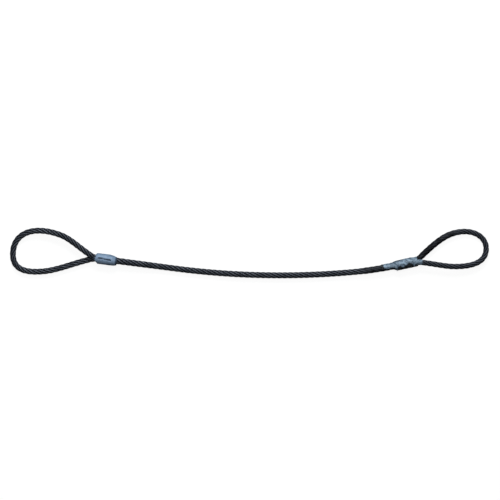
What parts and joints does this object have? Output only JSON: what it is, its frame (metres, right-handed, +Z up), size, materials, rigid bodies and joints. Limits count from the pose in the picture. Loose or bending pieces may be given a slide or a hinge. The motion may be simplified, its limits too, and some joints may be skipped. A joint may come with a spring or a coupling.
{
  "type": "wire rope sling",
  "caption": "Flexible wire rope sling with a soft eye at each end, one eye held by a pressed metal sleeve and the other by a taped splice.",
  "frame": {"origin": "centre of the sling outline, on the floor it lies on", "axes": "+Z up from the floor, +X from the sleeved eye to the taped eye, +Y across the sling"},
  "size_m": [1.531, 0.1613, 0.035],
  "materials": {
    "rope_wire": "oiled bright steel wire darkened by lubricant, satin",
    "fibre_core": "oil-soaked fibre core, hidden inside the strands",
    "sleeve_steel": "pressed galvanised steel, dull silver with a bluish cast",
    "tape": "crinkled silver-grey cloth tape, slightly glossy"
  },
  "bodies": {
    "left_eye": {"left_eye_strand_1": "rope_wire", "left_eye_strand_2": "rope_wire", "left_eye_strand_3": "rope_wire", "left_eye_strand_4": "rope_wire", "left_eye_strand_5": "rope_wire", "left_eye_strand_6": "rope_wire", "left_eye_core": "fibre_core"},
    "left_splice": {"swaged_sleeve": "sleeve_steel", "left_splice_strands": "rope_wire", "left_splice_tails": "rope_wire", "left_splice_core": "fibre_core"},
    "span_1": {"span_1_strand_1": "rope_wire", "span_1_strand_2": "rope_wire", "span_1_strand_3": "rope_wire", "span_1_strand_4": "rope_wire", "span_1_strand_5": "rope_wire", "span_1_strand_6": "rope_wire", "span_1_core": "fibre_core"},
    "span_2": {"span_2_strand_1": "rope_wire", "span_2_strand_2": "rope_wire", "span_2_strand_3": "rope_wire", "span_2_strand_4": "rope_wire", "span_2_strand_5": "rope_wire", "span_2_strand_6": "rope_wire", "span_2_core": "fibre_core"},
    "span_3": {"span_3_strand_1": "rope_wire", "span_3_strand_2": "rope_wire", "span_3_strand_3": "rope_wire", "span_3_strand_4": "rope_wire", "span_3_strand_5": "rope_wire", "span_3_strand_6": "rope_wire", "span_3_core": "fibre_core"},
    "span_4": {"span_4_strand_1": "rope_wire", "span_4_strand_2": "rope_wire", "span_4_strand_3": "rope_wire", "span_4_strand_4": "rope_wire", "span_4_strand_5": "rope_wire", "span_4_strand_6": "rope_wire", "span_4_core": "fibre_core"},
    "span_5": {"span_5_strand_1": "rope_wire", "span_5_strand_2": "rope_wire", "span_5_strand_3": "rope_wire", "span_5_strand_4": "rope_wire", "span_5_strand_5": "rope_wire", "span_5_strand_6": "rope_wire", "span_5_core": "fibre_core"},
    "right_splice": {"splice_tape": "tape", "rope_tape": "tape", "right_splice_strands": "rope_wire", "right_splice_tails": "rope_wire", "right_splice_core": "fibre_core"},
    "right_eye": {"right_eye_strand_1": "rope_wire", "right_eye_strand_2": "rope_wire", "right_eye_strand_3": "rope_wire", "right_eye_strand_4": "rope_wire", "right_eye_strand_5": "rope_wire", "right_eye_strand_6": "rope_wire", "right_eye_core": "fibre_core", "leg_tape": "tape"}
  },
  "joints": [
    {"name": "body_bend_2", "type": "hinge", "parent": "span_3", "child": "span_2", "pos_m": [-0.07667, -0.06546, 0.0094], "axis": [0, 0, -1], "range_deg": [-40, 40], "stiffness_Nm_per_rad": 20},
    {"name": "body_bend_1", "type": "hinge", "parent": "span_2", "child": "span_1", "pos_m": [-0.24017, -0.04925, 0.0094], "axis": [0.1297, 0.9916, 0], "range_deg": [-40, 40], "stiffness_Nm_per_rad": 20},
    {"name": "left_neck_bend", "type": "hinge", "parent": "span_1", "child": "left_splice", "pos_m": [-0.40285, -0.02797, 0.01748], "axis": [0, 0, -1], "range_deg": [-25, 25], "stiffness_Nm_per_rad": 20},
    {"name": "left_eye_bend", "type": "hinge", "parent": "left_splice", "child": "left_eye", "pos_m": [-0.49792, -0.01554, 0.0175], "axis": [0.1297, 0.9916, 0], "range_deg": [-30, 30], "stiffness_Nm_per_rad": 20},
    {"name": "body_bend_3", "type": "hinge", "parent": "span_3", "child": "span_4", "pos_m": [0.08752, -0.07132, 0.0094], "axis": [0, 0, 1], "range_deg": [-40, 40], "stiffness_Nm_per_rad": 20},
    {"name": "body_bend_4", "type": "hinge", "parent": "span_4", "child": "span_5", "pos_m": [0.25176, -0.0668, 0.0094], "axis": [0.0591, -0.9983, 0], "range_deg": [-40, 40], "stiffness_Nm_per_rad": 20},
    {"name": "right_neck_bend", "type": "hinge", "parent": "span_5", "child": "right_splice", "pos_m": [0.415, -0.05, 0.01523], "axis": [0, 0, 1], "range_deg": [-25, 25], "stiffness_Nm_per_rad": 20},
    {"name": "right_eye_bend", "type": "hinge", "parent": "right_splice", "child": "right_eye", "pos_m": [0.54423, -0.02369, 0.01525], "axis": [0.2053, -0.9787, 0], "range_deg": [-30, 30], "stiffness_Nm_per_rad": 20}
  ]
}
